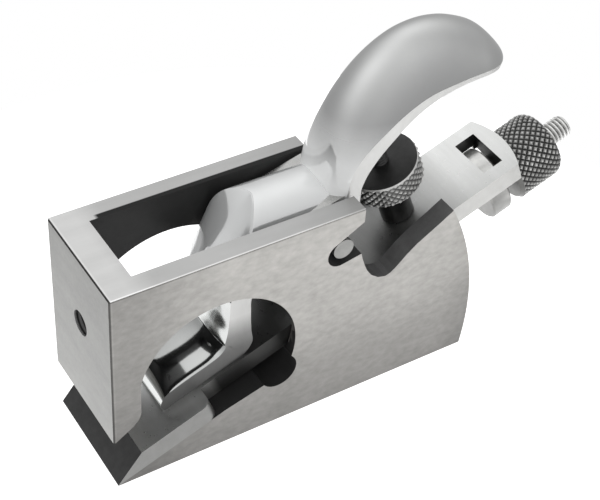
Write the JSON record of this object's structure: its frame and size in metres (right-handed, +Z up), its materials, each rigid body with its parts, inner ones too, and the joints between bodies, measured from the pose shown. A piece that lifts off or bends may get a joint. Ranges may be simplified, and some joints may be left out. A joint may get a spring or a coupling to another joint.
{
  "type": "combination hand plane",
  "caption": "Small metal hand plane in its chisel setting, with a T-shaped cutter on a low bed, a swept lever cap, a knurled clamp screw and a knurled depth adjuster.",
  "frame": {"origin": "the middle of the flat sole", "axes": "+X from the front face to the adjuster, +Y to the plane's left side, +Z up from the sole"},
  "size_m": [0.1298, 0.0286, 0.0884],
  "materials": {
    "ground_casting": "fine ground faces, black paint between the cheeks",
    "tool_steel": "ground, satin",
    "polished_plate": "mirror polished top, satin sides",
    "plain_steel": "turned",
    "knurled_steel": "turned with diamond knurl"
  },
  "bodies": {
    "frame": {"body": "ground_casting", "adjuster_stud": "plain_steel"},
    "blade": {"cutter": "tool_steel"},
    "nut": {"adjuster_nut": "knurled_steel"},
    "cap": {"lever_cap": "polished_plate", "lever_cap_pin": "plain_steel"},
    "clamp_screw": {"lever_cap_screw": "knurled_steel"}
  },
  "joints": [
    {"name": "cutter_feed", "type": "slide", "parent": "frame", "child": "blade", "axis": [0.9307, 0, 0.3657], "range_m": [-0.003, 0.0015]},
    {"name": "adjuster_turn", "type": "hinge", "parent": "blade", "child": "nut", "pos_m": [0.06655, 0, 0.03923], "axis": [0.9307, 0, 0.3657], "range_deg": [-1082, 542]},
    {"name": "lever_cap_tilt", "type": "hinge", "parent": "frame", "child": "cap", "pos_m": [0.00795, 0, 0.0468], "axis": [0, 1, 0], "range_deg": [0, 5]},
    {"name": "clamp_screw_travel", "type": "slide", "parent": "cap", "child": "clamp_screw", "axis": [-0.3657, 0, 0.9307], "range_m": [0, 0.0024]}
  ],
  "couplings": [
    {"joint": "adjuster_turn", "follows": "cutter_feed", "rad_per_m": 6283.2},
    {"joint": "clamp_screw_travel", "follows": "lever_cap_tilt", "m_per_rad": 0.027}
  ]
}
